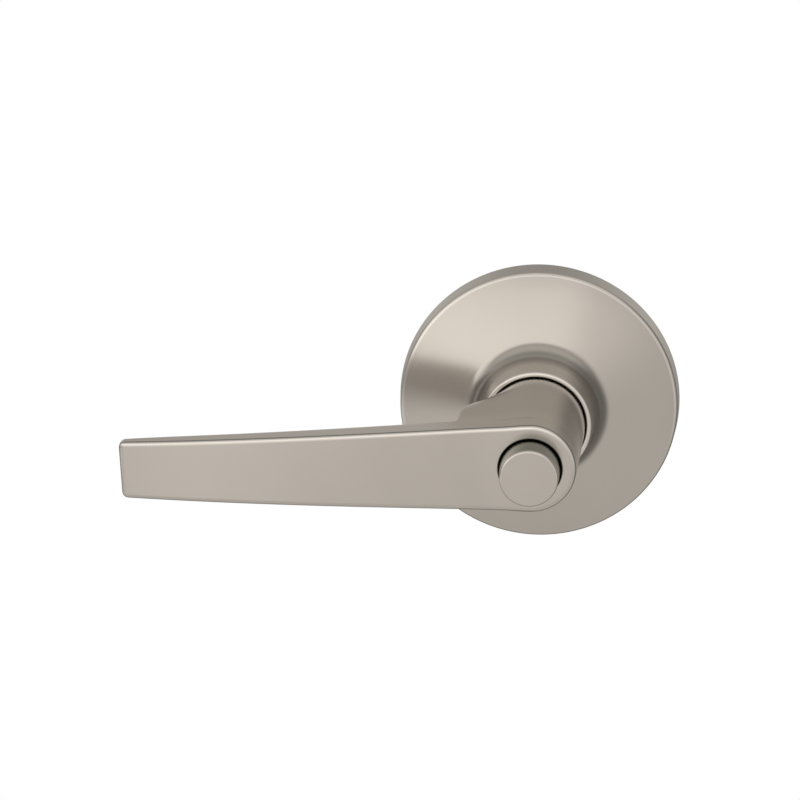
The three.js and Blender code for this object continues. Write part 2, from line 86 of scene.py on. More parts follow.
class Value:
    """A socket of a node tree. Arithmetic on it adds Math nodes to the tree."""

    def __init__(self, tree, socket):
        self.tree = tree
        self.socket = socket

    def node(self, kind, inputs=(), output=0, stops=(), **settings):
        """Adds a node: its settings are set first, then its inputs, each a value or a link."""
        new = self.tree.nodes.new("ShaderNode" + kind)
        for name, setting in settings.items():
            setattr(new, name, setting)
        for i, (position, colour) in enumerate(stops):
            ramp = new.color_ramp.elements
            stop = ramp[i] if i < len(ramp) else ramp.new(position)
            stop.position = position
            stop.color = colour
        for key, given in dict(inputs).items():
            if isinstance(given, Value):
                self.tree.links.new(given.socket, new.inputs[key])
            else:
                new.inputs[key].default_value = given
        return Value(self.tree, new.outputs[output])

    def math(self, operation, *others):
        return self.node("Math", dict(enumerate((self, *others))), operation=operation)

    def __add__(self, other):
        return self.math("ADD", other)

    def __mul__(self, other):
        return self.math("MULTIPLY", other)

    def __sub__(self, other):
        return self.math("SUBTRACT", other)

    def __truediv__(self, other):
        return self.math("DIVIDE", other)

    def __pow__(self, other):
        return self.math("POWER", other)

    def __rsub__(self, other):
        return self.node("Math", {0: other, 1: self}, operation="SUBTRACT")

    __radd__ = __add__
    __rmul__ = __mul__

    def step(self, start, end):
        """0 below start and 1 above end, with a smooth rise between them."""
        inputs = {"Value": self, "From Min": start, "From Max": end}
        return self.node("MapRange", inputs, interpolation_type="SMOOTHSTEP")

    def band(self, start, full, fall, end):
        """1 between full and fall, and 0 below start and above end."""
        return self.step(start, full) * (1 - self.step(fall, end))

    def between(self, low, high):
        """A mix of two colours: low where this is 0, and high where it is 1."""
        low, high = (end if isinstance(end, Value) else (*end, 1) for end in (low, high))
        inputs = {"Factor": self, "A": low, "B": high}
        return self.node("Mix", inputs, output="Result", data_type="RGBA")

    def split(self):
        parts = self.node("SeparateXYZ", {0: self})
        return [Value(self.tree, socket) for socket in parts.socket.node.outputs]


world = bpy.data.worlds.new("studio")
bpy.context.scene.world = world
world.use_nodes = True
world.node_tree.nodes.clear()
room = Value(world.node_tree, None)
right, back, up = room.node("TexCoord", output="Generated").split()
front = back * -1.0

# The walls' grey at each angle up from straight ahead, over the top and down the back. Below
# straight ahead the angles are negative.
wall_greys = [
    (-180, 0.6),
    (-165, 0.42),
    (-150, 0.2),
    (-100, 0.2),
    (-80, 0.32),
    (-60, 0.52),
    (-42, 0.56),
    (-19, 0.55),
    (2, 0.58),
    (22, 0.4),
    (42, 0.64),
    (60, 0.62),
    (80, 0.38),
    (104, 0.42),
    (132, 0.52),
    (150, 0.34),
    (162, 0.56),
    (180, 0.6),
]
walls = room.node(
    "ValToRGB",
    {"Fac": up.math("ARCTAN2", front) / (2 * math.pi) + 0.5},
    stops=[((angle + 180) / 360, (grey, grey, grey, 1)) for angle, grey in wall_greys],
)
far_side = right.math("ABSOLUTE").step(0.5, 0.98)
side_grey = right.step(0.5, -0.5) * 0.3 + 0.2
walls = walls * (1 - far_side) + far_side * side_grey

# The lamp's foot climbs towards the right, and its right end fades in two steps. The gap is a
# wedge that opens towards the left. Both are placed by degrees to the right and up.
turn = right.math("ARCTAN2", front) * math.degrees(1)
rise = up.math("ARCSINE") * math.degrees(1)
above_foot = (rise - turn.math("MAXIMUM", -15.0) * 0.4).step(-24, 0)
lamp = above_foot * (1 - rise.step(15, 25)) * turn.step(-80, -42)
lamp = lamp * (1 - turn.step(5, 16) * 0.6 - turn.step(16, 34) * 0.4)
gap = rise.step(-20.5, -15) * (1 - (rise + turn * 0.6).step(-30.5, -25))
gap = gap * (1 - turn.step(-27, -14)) * turn.step(-120, -80)

glow = (walls + lamp * 0.51) * (1 - gap * 0.62)
reflected = room.node("Background", {"Color": (1.0, 0.955, 0.895, 1), "Strength": glow})
seen = room.node("Background", {"Color": (1.0, 1.0, 1.0, 1), "Strength": 1.0})
from_camera = room.node("LightPath", output="Is Camera Ray")
surroundings = room.node("MixShader", {0: from_camera, 1: reflected, 2: seen})
sink = world.node_tree.nodes.new("ShaderNodeOutputWorld")
world.node_tree.links.new(surroundings.socket, sink.inputs["Surface"])


def material(name):
    """An empty material and the start of its node tree."""
    finish = bpy.data.materials.new(name)
    finish.use_nodes = True
    finish.node_tree.nodes.clear()
    return finish, Value(finish.node_tree, None)


def finish_with(finish, shader):
    """Ends a material in its shader."""
    sink = finish.node_tree.nodes.new("ShaderNodeOutputMaterial")
    finish.node_tree.links.new(shader.socket, sink.inputs["Surface"])
    return finish


def deselect():
    """Leaves edit mode, if it is on, and lets go of everything."""
    if bpy.context.object and bpy.context.object.mode != "OBJECT":
        bpy.ops.object.mode_set(mode="OBJECT")
    bpy.ops.object.select_all(action="DESELECT")


white, paint = material("backdrop_white")
finish_with(white, paint.node("Emission", {"Color": (1, 1, 1, 1), "Strength": 1.0}))

deselect()
bpy.ops.mesh.primitive_plane_add(size=8, location=(0, 0, -0.4))
floor = bpy.context.object
floor.name = "studio_floor"
deselect()
bpy.ops.mesh.primitive_uv_sphere_add(segments=48, ring_count=24, radius=9)
backdrop = bpy.context.object
backdrop.name = "studio_backdrop"
for screen in (floor, backdrop):
    screen.data.materials.append(white)
    screen.visible_diffuse = False
    screen.visible_glossy = False
    screen.visible_transmission = False
    screen.visible_shadow = False


# Mounting plate. It is a stamped, zinc plated steel disc. Its rim lies on the door, and its raised
# middle holds the bushing's socket, two bolt holes and two rivet holes.


def pick(piece):
    """Selects one piece alone and makes it active."""
    deselect()
    piece.select_set(True)
    bpy.context.view_layer.objects.active = piece


def weld(distance):
    """Merges points that are closer than this, turns all faces outwards and leaves edit mode."""
    bpy.ops.mesh.select_all(action="SELECT")
    bpy.ops.mesh.remove_doubles(threshold=distance * MM)
    bpy.ops.mesh.normals_make_consistent(inside=False)
    bpy.ops.object.mode_set(mode="OBJECT")


def turned(name, profile, sides=96, ring=False):
    """Turns a profile of (radius, out) points about the door's axis, extruding a circle from
    point to point. A ring's profile closes on itself; any other ends in two flat discs."""
    deselect()
    radius, out = profile[0]
    bpy.ops.mesh.primitive_circle_add(
        vertices=sides,
        radius=radius * MM,
        location=(0, -out * MM, 0),
        rotation=(math.pi / 2, 0, 0),
        fill_type="NOTHING" if ring else "NGON",
    )
    piece = bpy.context.object
    piece.name = name
    bpy.ops.object.transform_apply(location=True, rotation=True, scale=True)
    bpy.ops.object.mode_set(mode="EDIT")
    bpy.ops.mesh.select_all(action="SELECT")
    for next_radius, next_out in profile[1:] + (profile[:1] if ring else []):
        bpy.ops.mesh.extrude_region_move(
            TRANSFORM_OT_translate={"value": (0, (out - next_out) * MM, 0)}
        )
        scale = next_radius / radius
        bpy.ops.transform.resize(value=(scale, 1, scale), center_override=(0, 0, 0))
        radius, out = next_radius, next_out
    weld(0.002)
    return piece


def block(name, width, height, from_out, to_out, centre=(0, 0)):
    """A block lying along the axis, placed by its middle in x and z."""
    deselect()
    bpy.ops.mesh.primitive_cube_add(
        size=1,
        location=(centre[0] * MM, -(from_out + to_out) / 2 * MM, centre[1] * MM),
        scale=(width * MM, (to_out - from_out) * MM, height * MM),
    )
    piece = bpy.context.object
    piece.name = name
    bpy.ops.object.transform_apply(location=True, rotation=True, scale=True)
    return piece


def moved(piece, x=0, y=0, z=0):
    """Moves a piece's mesh, and leaves its object at the origin."""
    pick(piece)
    piece.location = (x * MM, y * MM, z * MM)
    bpy.ops.object.transform_apply(location=True, rotation=True, scale=True)
    return piece


def drills(radius, from_out, to_out, places, sides=32):
    """Round tools along the axis, one for a hole at each (x, z)."""
    hole = [(radius, from_out), (radius, to_out)]
    return [moved(turned("drill", hole, sides), x=x, z=z) for x, z in places]


def copied(piece, name):
    """A copy of a piece, with a mesh of its own."""
    copy = piece.copy()
    copy.data = piece.data.copy()
    copy.name = name
    bpy.context.scene.collection.objects.link(copy)
    return copy


def cut(piece, *tools):
    """Cuts each tool's shape out of a piece."""
    for tool in tools:
        boolean = piece.modifiers.new("cut", "BOOLEAN")
        boolean.operation = "DIFFERENCE"
        boolean.solver = "EXACT"
        boolean.object = tool
        pick(piece)
        bpy.ops.object.modifier_apply(modifier=boolean.name)
        bpy.data.objects.remove(tool)
    return piece


def rounded(piece, width, segments=3, angle=35):
    """Rounds a piece's sharp edges."""
    bevel = piece.modifiers.new("rounding", "BEVEL")
    bevel.width = width * MM
    bevel.segments = segments
    bevel.limit_method = "ANGLE"
    bevel.angle_limit = math.radians(angle)
    pick(piece)
    bpy.ops.object.modifier_apply(modifier=bevel.name)
    return piece


def smoothed(piece, angle=40):
    """Shades curved faces smooth and keeps flat faces flat."""
    pick(piece)
    bpy.ops.object.shade_smooth_by_angle(angle=math.radians(angle))
    weighting = piece.modifiers.new("weighting", "WEIGHTED_NORMAL")
    weighting.keep_sharp = True
    bpy.ops.object.modifier_apply(modifier=weighting.name)
    return piece


def worked_metal(name, dark, light, roughness, patch, grain, relief):
    """Plain metal: patches of tone and gloss as wide as patch, and a pitted grain as fine as
    grain that stands as high as relief, all in millimetres."""
    finish, paint = material(name)
    place = paint.node("TexCoord", output="Object")
    patches = paint.node("TexNoise", {"Vector": place, "Scale": 1000 / patch, "Detail": 4.0})
    pits = paint.node("TexNoise", {"Vector": place, "Scale": 1000 / grain, "Detail": 3.0})
    tone = (patches * 0.7 + pits * 0.3).between(dark, light)
    bump = paint.node("Bump", {"Height": pits, "Distance": relief * MM, "Strength": 0.6})
    shader = paint.node(
        "BsdfPrincipled",
        {
            "Base Color": tone,
            "Metallic": 1.0,
            "Roughness": patches * 0.2 + pits * 0.1 + (roughness - 0.15),
            "Normal": bump,
        },
    )
    return finish_with(finish, shader)


def stands_for(piece, body, finish, slot, *nodes):
    """Gives a finished piece its material, its body and the CAD nodes it stands for."""
    piece.data.materials.clear()
    piece.data.materials.append(finish)
    if body:
        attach(piece, body)
    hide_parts(*nodes)


def keeps(finish, *nodes):
    """Gives CAD nodes that stay as they are a finish of their own."""
    for node in nodes:
        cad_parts[node].data.materials.clear()
        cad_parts[node].data.materials.append(finish)


zinc_plate = worked_metal(
    "bright_zinc_plate", (0.5, 0.52, 0.53), (0.66, 0.67, 0.66), 0.34, 6, 0.25, 0.004
)
bolt_offset = 19.0
pin_offset = 13.2
plate_profile = [
    (31, 0),
    (31, 1.6),
    (25.2, 1.6),
    (24.6, 1.8),
    (24.0, 2.8),
    (23.4, 3),
    (12.6, 3),
    (12.15, 3.2),
    (12, 3.6),
    (12, 9),
    (10.8, 9),
    (10.8, 1.6),
    (11, 1.4),
    (22.4, 1.4),
    (22.9, 1.2),
    (23.5, 0.2),
    (23.9, 0),
]
mounting_plate = cut(
    turned("mounting_plate_skin", plate_profile, sides=128, ring=True),
    *drills(2.4, -1, 5, [(bolt_offset, 0), (-bolt_offset, 0)]),
    *drills(1.3, -1, 5, [(0, pin_offset), (0, -pin_offset)]),
)
smoothed(rounded(mounting_plate, 0.18, segments=2, angle=50))
stands_for(mounting_plate, "rose_assembly", zinc_plate, "zinc_plate", "mounting_plate")


# Neck bushing. It is moulded in white nylon and pushed into the plate's socket, where it is the
# lever's bearing.

nylon, paint = material("moulded_nylon")
place = paint.node("TexCoord", output="Object")
cloud = paint.node("TexNoise", {"Vector": place, "Scale": 220.0, "Detail": 3.0})
texture = paint.node("TexNoise", {"Vector": place, "Scale": 4500.0, "Detail": 2.0})
shader = paint.node(
    "BsdfPrincipled",
    {
        "Base Color": cloud.between((0.72, 0.7, 0.64), (0.8, 0.78, 0.73)),
        "Roughness": cloud * 0.15 + 0.45,
        "Normal": paint.node("Bump", {"Height": texture, "Distance": 0.004 * MM, "Strength": 0.6}),
    },
)
finish_with(nylon, shader)
keeps(nylon, "neck_bushing")


# Spring cage. It is a cup drawn from sheet steel and zinc plated. Two rivets hold it behind the
# plate, with the return spring inside.

cage_profile = [
    (8.3, -10.2),
    (14.4, -10.2),
    (15.4, -9.8),
    (15.8, -8.8),
    (15.8, 1.1),
    (14.6, 1.1),
    (14.6, -8.4),
    (14.2, -9.0),
    (8.3, -9.0),
]
spring_cage = cut(
    turned("spring_cage_skin", cage_profile, ring=True),
    *drills(1.3, -11, -8, [(0, pin_offset), (0, -pin_offset)]),
)
smoothed(rounded(spring_cage, 0.15, segments=2, angle=50))
stands_for(spring_cage, "rose_assembly", zinc_plate, "zinc_plate", "spring_cage")


# Stop pins. Two steel rivets hold the cage to the plate. Between them the cam stops the lever, and
# the upper one anchors the return spring.

bare_steel = worked_metal(
    "rolled_steel", (0.36, 0.37, 0.38), (0.52, 0.52, 0.52), 0.38, 3, 0.12, 0.003
)
pin_profile = [
    (0.5, -11.6),
    (1.3, -11.55),
    (1.75, -11.3),
    (1.9, -10.9),
    (1.9, -10.5),
    (1, -10.5),
    (1, 3.1),
    (0.7, 3.4),
]
upper_pin = smoothed(turned("stop_pin_upper_skin", pin_profile, sides=40))
lower_pin = moved(copied(upper_pin, "stop_pin_lower_skin"), z=-pin_offset)
moved(upper_pin, z=pin_offset)
stands_for(upper_pin, "rose_assembly", bare_steel, "plain_steel", "stop_pin_upper")
stands_for(lower_pin, "rose_assembly", bare_steel, "plain_steel", "stop_pin_lower")


# Return spring. It is a torsion spring of hardened wire, coiled round the drive tube in the cage.
# Its back leg stays with the upper stop pin, and its front leg turns with the cam.

spring_steel = worked_metal(
    "tempered_spring_steel", (0.1, 0.105, 0.115), (0.22, 0.22, 0.225), 0.32, 2, 0.1, 0.002
)


def wire(name, points, radius):
    """A round wire through points given as (x, z, out)."""
    line = bpy.data.curves.new(name, "CURVE")
    line.dimensions = "3D"
    line.bevel_depth = radius * MM
    line.bevel_resolution = 3
    line.use_fill_caps = True
    spline = line.splines.new("POLY")
    spline.points.add(len(points) - 1)
    for point, (x, z, out) in zip(spline.points, points):
        point.co = (x * MM, -out * MM, z * MM, 1)
    piece = bpy.data.objects.new(name, line)
    bpy.context.scene.collection.objects.link(piece)
    pick(piece)
    bpy.ops.object.convert(target="MESH")
    return smoothed(bpy.context.object, angle=60)


def coil(radius, turns, start, from_out, to_out, per_turn=40):
    """Points of a coil that starts at an angle and runs from one distance out to another."""
    count = round(turns * per_turn)
    points = []
    for i in range(count + 1):
        angle = start + 2 * math.pi * turns * i / count
        out = from_out + (to_out - from_out) * i / count
        points.append((radius * math.cos(angle), radius * math.sin(angle), out))
    return points


coil_radius = 9.2
coil_front = -2.5
coil_back = -8.3
leg_offset = 2.4
coil_start = math.acos(leg_offset / coil_radius)
coil_turns = 4.5 - coil_start / math.pi


def spring_leg(side, out):
    """Points from a leg's end down to the coil, on the right (1) or the left (-1)."""
    return [
        (side * leg_offset, 13.7, out),
        (side * leg_offset, 10.6, out),
        (side * (leg_offset - 0.1), 9.6, out),
    ]


spring_path = [
    *spring_leg(1, coil_front),
    *coil(coil_radius, coil_turns, coil_start, coil_front, coil_back)[2:-2],
    *spring_leg(-1, coil_back)[::-1],
]
return_spring = wire("return_spring_skin", spring_path, 0.6)
stands_for(return_spring, None, spring_steel, "spring_steel", "return_spring")
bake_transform(return_spring)


# Drive tube. It is cast in zinc, and carries the lever through the bushing. The spindle passes
# through the square hole in its end.

cast_zinc = worked_metal("cast_zinc", (0.42, 0.42, 0.41), (0.55, 0.55, 0.53), 0.5, 4, 0.35, 0.012)
tube_profile = [
    (7.4, -14.5),
    (8, -13.9),
    (8, -13.1),
    (7.2, -13.1),
    (7.2, -11.7),
    (8, -11.7),
    (8, 30.3),
    (7.5, 30.8),
    (6.3, 30.8),
    (6.3, -9),
]
drive_tube = turned("drive_tube_skin", tube_profile)
cut(drive_tube, block("square_hole", 7.6, 7.6, -16, -8))
smoothed(rounded(drive_tube, 0.15, segments=2, angle=50))
stands_for(drive_tube, "lever", cast_zinc, "cast_zinc", "drive_tube")


# Return cam. It is stamped from steel and pressed on the drive tube. Two wide lugs swing between
# the stop pins, and a finger winds the spring.

keeps(bare_steel, "return_cam")


# Thrust washer and retaining ring. A flat steel washer behind the cage, and a snap ring of spring
# steel in the drive tube's groove, keep the tube from being pulled out.

washer_profile = [(8.3, -11.5), (11, -11.5), (11, -10.5), (8.3, -10.5)]
thrust_washer = turned("thrust_washer_skin", washer_profile, ring=True)
smoothed(rounded(thrust_washer, 0.15, segments=2, angle=50))
stands_for(thrust_washer, "lever", bare_steel, "plain_steel", "thrust_washer")

ring_profile = [(7.5, -12.9), (10.2, -12.9), (10.2, -11.9), (7.5, -11.9)]
retaining_ring = turned("retaining_ring_skin", ring_profile, ring=True)
cut(
    retaining_ring,
    block("ring_mouth", 5.6, 8, -14, -11, centre=(0, -11)),
    *drills(0.5, -14, -11, [(4.2, -7.85), (-4.2, -7.85)], sides=24),
)
smoothed(rounded(retaining_ring, 0.1, segments=2, angle=50))
stands_for(retaining_ring, "lever", spring_steel, "spring_steel", "retaining_ring")


# Through bolts and their washers. Two zinc plated machine screws, each on a plain steel washer,
# run through the plate and the door into the far half.

thread_pitch = 0.7
thread_root = 1.62
bolt_radius = 2
thread_profile = []
thread_out = -45.3
while thread_out < -6:
    thread_profile += [
        (thread_root, thread_out),
        (bolt_radius, thread_out + 0.26),
        (bolt_radius, thread_out + 0.36),
    ]
    thread_out += thread_pitch
bolt_profile = [
    (1.2, -46),
    (1.55, -45.7),
    *thread_profile,
    (thread_root, thread_out),
    (bolt_radius, thread_out + 0.5),
    (bolt_radius, 4.3),
    (3.8, 4.3),
    (3.8, 4.9),
    (3.6, 5.4),
    (3.0, 5.85),
    (1.9, 6.2),
    (0.8, 6.3),
]
bolt = turned("through_bolt_left_skin", bolt_profile, sides=40)
cut(bolt, block("recess", 3.6, 0.8, 5.2, 7), block("recess", 0.8, 3.6, 5.2, 7))
smoothed(bolt, angle=50)
right_bolt = moved(copied(bolt, "through_bolt_right_skin"), x=bolt_offset)
moved(bolt, x=-bolt_offset)
stands_for(bolt, "rose_assembly", zinc_plate, "zinc_plate", "through_bolt_left")
stands_for(right_bolt, "rose_assembly", zinc_plate, "zinc_plate", "through_bolt_right")
keeps(bare_steel, "bolt_washer_left", "bolt_washer_right")


# Rose clips. Three bent strips of spring steel are fixed to the plate near its rim, and the rose
# snaps over them.

keeps(spring_steel, "rose_clip_top", "rose_clip_left", "rose_clip_right")


# Rose cover. It is spun from sheet metal and satin nickel plated: a short side wall, a shallow
# cone, and a flared collar that ends in a rolled lip around the lever's neck.


def arc(centre, radius, start, end, steps):
    """Points on an arc of a profile, with its angles in degrees."""
    angles = (start + (end - start) * i / steps for i in range(steps + 1))
    return [
        (
            centre[0] + radius * math.cos(math.radians(angle)),
            centre[1] + radius * math.sin(math.radians(angle)),
        )
        for angle in angles
    ]


def bend(*points_and_steps):
    """Points on a quadratic or cubic curve, given by its end and control points."""
    *controls, steps = points_and_steps
    points = []
    for i in range(steps + 1):
        level = controls
        t = i / steps
        while len(level) > 1:
            level = [
                (a[0] + (b[0] - a[0]) * t, a[1] + (b[1] - a[1]) * t)
                for a, b in zip(level, level[1:])
            ]
        points.append(level[0])
    return points


# Nickel's tones: dark and light for its random tone, then the colour of its painted highlight and
# the colour of its painted shade.
nickel_dark = (0.66, 0.625, 0.585)
nickel_light = (0.705, 0.67, 0.635)
nickel_painted_highlight = (0.93, 0.9, 0.87)
nickel_painted_shade = (0.26, 0.27, 0.235)


def satin_nickel(name, grain, painted_highlight_at, painted_shade_at):
    """Nickel plate brushed along the grain, with fine streaks in its gloss and its surface. The two
    masks give, from a place in millimetres, where a painted highlight lightens its colour and where
    a painted shade darkens it."""
    finish, paint = material(name)
    place = paint.node("TexCoord", output="Object")
    x, y, z = (part * 1000.0 for part in place.split())
    out = y * -1.0
    radius = (x * x + z * z).math("SQRT")

    # The streaks are a noise drawn out along the grain, which runs round the axis or along x.
    if grain == "round":
        lanes = {0: radius * 9.0, 1: x / radius * 9.0, 2: z / radius * 9.0 + y * 6.0}
    else:
        lanes = {0: x * 0.26, 1: y * 6.0, 2: z * 9.0}
    lanes = paint.node("CombineXYZ", lanes)
    streaks = paint.node("TexNoise", {"Vector": lanes, "Scale": 1.0, "Detail": 3.0})

    clouds = paint.node("TexNoise", {"Vector": place, "Scale": 90.0, "Detail": 2.0})
    tone = (clouds * 0.6 + streaks * 0.4).between(nickel_dark, nickel_light)
    # Painted highlight and painted shade: the colour is lightened on edges and darkened in hollows
    # and on flanks, in place of reflections and shade.
    tone = painted_highlight_at(x, out, z, radius).between(tone, nickel_painted_highlight)
    tone = painted_shade_at(x, out, z, radius).between(tone, nickel_painted_shade)
    gloss = streaks * 0.08 + clouds * 0.03 + 0.15
    relief = paint.node("Bump", {"Height": streaks, "Distance": 0.0025 * MM, "Strength": 0.5})
    shader = paint.node(
        "BsdfPrincipled",
        {"Base Color": tone, "Metallic": 1.0, "Roughness": gloss, "Normal": relief},
    )
    return finish_with(finish, shader)


rose_outer = 34.0


def rose_painted_highlight(x, out, z, radius):
    """Painted highlight: the collar and its lip, and the top half of the rim's edge, are lightened
    in colour.
    """
    lip = out.step(19.0, 19.4) * radius.step(12.0, 12.2)
    collar = out.step(13.5, 15.5) * (1 - radius.step(14.0, 14.6))
    edge = radius.band(rose_outer - 1.5, rose_outer - 1.2, rose_outer - 0.7, rose_outer - 0.5)
    edge = edge * z.step(-15, 5) * out.step(4.9, 5.2)
    return (lip * 0.8 + edge * 0.8).math("MAXIMUM", collar * 0.5)


def rose_painted_shade(x, out, z, radius):
    """Painted shade: the side wall is darker in colour than the face, most of all at the foot of
    its edge on the lower side, and so is the curve round the collar."""
    wall = radius.step(rose_outer - 0.7, rose_outer - 0.4)
    low_edge = out.step(3.9, 4.4) * (1 - z.step(-12, 6))
    fillet = radius.band(14.1, 14.5, 16.2, 17.4)
    return wall * 0.28 + wall * low_edge * 0.5 + fillet * 0.3


spun_nickel = satin_nickel("spun_satin_nickel", "round", rose_painted_highlight, rose_painted_shade)

cone_edge = (32.4, 5.92)
cone_top = (17.8, 9.75)
inner_cone_top = (18.2, 8.45)
rose_profile = [
    (rose_outer, 0),
    (rose_outer - 0.45, 5.0),
    *arc((rose_outer - 1.15, 5.02), 0.7, 0, 76, 6)[1:],
    *bend(cone_edge, (25, 8.05), cone_top, 8)[1:],
    *bend(cone_top, (15.5, 10.3), (14.3, 12.0), (13.85, 15.2), 16)[1:],
    (13.2, 18.8),
    *arc((12.8, 19.15), 0.4, 5, 80, 5),
    (12.6, 19.6),
    (12.3, 19.58),
    *arc((12.25, 19.33), 0.25, 90, 180, 4),
    *bend((12.5, 15), (12.9, 11.7), (14.6, 9.4), inner_cone_top, 8),
    *bend(inner_cone_top, (25, 7.0), (31.6, 4.9), 4)[1:],
    (32.6, 4.2),
    (rose_outer - 1.1, 0),
]
rose_cover = smoothed(turned("rose_cover_skin", rose_profile, sides=192, ring=True))
stands_for(rose_cover, "rose_assembly", spun_nickel, "satin_nickel", "rose_cover")


# Lever handle. It is one zinc casting, brushed and satin nickel plated: a round neck spreads
# through a web into a flat tapered arm. Its sections are placed by formula, because the neck
# changes from round to square as it runs into the arm; the bores are then cut out of it.


def mix(a, b, t):
    return a + (b - a) * t


def smooth(start, end, value):
    """0 up to start and 1 from end on, with a smooth rise between them."""
    t = min(1.0, max(0.0, (value - start) / (end - start)))
    return t * t * (3 - 2 * t)


collar_out = 19.6
neck_end_out = 11.2
neck_radius = 11.7
hub_radius = 10.4
hub_out = 49.8
arm_reach = 94.2
arm_root_half = 10.25
arm_tip_half = 6.75
arm_root_depth = 6.8
arm_tip_depth = 3.5
hub_side_lean = 0.3
hub_top_lean = 0.15
arm_draft = 0.1
tip_corner = 1.4
web_left = -16.7
web_fillet = 2.0
web_full_out = 33
back_round = 0.6
blend_length = 6  # how far the hub's round side takes to become the arm's straight one

# The roll of the front edge, as how far in from the side and how far below the face it is.
edge_profile = [
    (0, 0.62),
    (0.02, 0.46),
    (0.08, 0.3),
    (0.17, 0.19),
    (0.29, 0.12),
    (0.45, 0.07),
    (0.65, 0.035),
    (0.85, 0.012),
    (1.1, 0),
]

# How many faces each stretch of an outline has.
arc_steps = 28
web_steps = 10
side_steps = 40
corner_steps = 6
end_steps = 3
back_steps = 4
face_steps = 6
web_index = arc_steps + web_steps

# Where the points along the arm's side lie, from the hub (0) to the tip's corner (1). They are
# closer together over the web, to match its own.
web_share = (web_left - web_fillet) / (-arm_reach + arm_draft + tip_corner)
side_places = [web_share * k / web_steps for k in range(web_steps)] + [
    mix(web_share, 1.0, k / (side_steps - web_steps)) for k in range(side_steps - web_steps + 1)
]


def arm_half(x):
    return mix(arm_root_half, arm_tip_half, -x / arm_reach)


def arm_bow(t):
    """How far the front face stands out from flat, between the hub's edge (0) and the tip (1)."""
    return t**1.25 * (1 - t) * 5.1 - t**4.0 * 0.5


def arm_front(x):
    """The front face bows out by a millimetre, and falls back towards the tip."""
    t = min(1.0, max(0.0, -x - hub_radius) / (arm_reach - hub_radius))
    return hub_out + arm_bow(t)


def arm_back(x):
    """The arm gets thinner towards the tip, and eases off more over its last few millimetres."""
    t = max(0.0, -x / arm_reach)
    return arm_front(x) - mix(arm_root_depth, arm_tip_depth, t) + 0.9 * t**14


def hub_lean(a):
    """How much wider the hub is at its back: most on its right, and little above and below."""
    return mix(hub_side_lean, hub_top_lean, smooth(0.2, 1.35, a))


def plate_outline(inset, flare=0.0):
    """The upper half of the lever's outline, from the hub's right end to the tip's middle, as
    (x, z). Inset draws it in, and flare is how much it spreads: 0 in front and 1 at the back."""
    radius = hub_radius - inset + hub_top_lean * flare
    points = []
    for k in range(arc_steps):
        a = math.pi / 2 * k / arc_steps
        reach = hub_radius - inset + hub_lean(a) * (1 - (1 - flare) ** 1.6)
        points.append((reach * math.cos(a), reach * math.sin(a)))
    arm_end = -arm_reach + arm_draft + tip_corner
    for share in side_places:
        x = arm_end * share
        side = arm_half(x) - inset + arm_draft * flare
        points.append((x, mix(radius, side, smooth(0, blend_length, -x))))
    straight = arm_half(arm_end) - tip_corner
    reach = tip_corner - inset + arm_draft * flare
    for k in range(1, corner_steps + 1):
        a = math.pi / 2 * k / corner_steps
        points.append((arm_end - reach * math.sin(a), straight + reach * math.cos(a)))
    end = -arm_reach + inset + arm_draft * (1 - flare)
    for k in range(1, end_steps + 1):
        points.append((end, straight * (1 - k / end_steps)))
    return points


def neck_section(out):
    """The upper half of a section of neck and web, from its right end round to its left."""
    base_out = arm_back(web_left - web_fillet) + back_round
    share = max(0.0, (out - collar_out) / (base_out - collar_out))
    radius = mix(neck_radius, hub_radius + hub_top_lean, share)
    square = smooth(collar_out, base_out - 4, out) ** 0.6
    spread = mix(radius, -web_left, smooth(collar_out - 0.6, web_full_out, out))
    above = max(0.0, 1 - (base_out - out) / web_fillet)
    spread += web_fillet * (1 - math.sqrt(max(0.0, 1 - above * above)))
    points = []
    for k in range(arc_steps + 1):
        a = math.pi / 2 * k / arc_steps
        reach = mix(neck_radius, hub_radius + hub_lean(a), share)
        points.append((reach * math.cos(a), reach * math.sin(a)))
    left_count = web_steps + back_steps + face_steps
    for k in range(1, left_count + 1):
        a = math.pi / 2 * (1 + k / left_count)
        round_x, round_z = spread * math.cos(a), radius * math.sin(a)
        half = arm_half(-spread) + arm_draft
        edge = spread - back_round
        if k <= web_steps:
            box_x = -edge * k / web_steps
            box_z = mix(radius, arm_half(box_x) + arm_draft, smooth(0, blend_length, -box_x))
        elif k <= web_steps + back_steps:
            turn = math.pi / 2 * (k - web_steps) / back_steps
            box_x = -edge - back_round * math.sin(turn)
            box_z = half - back_round * (1 - math.cos(turn))
        else:
            box_x = -spread
            box_z = (half - back_round) * (1 - (k - web_steps - back_steps) / face_steps)
        points.append((mix(round_x, box_x, square), mix(round_z, box_z, square)))
    return points


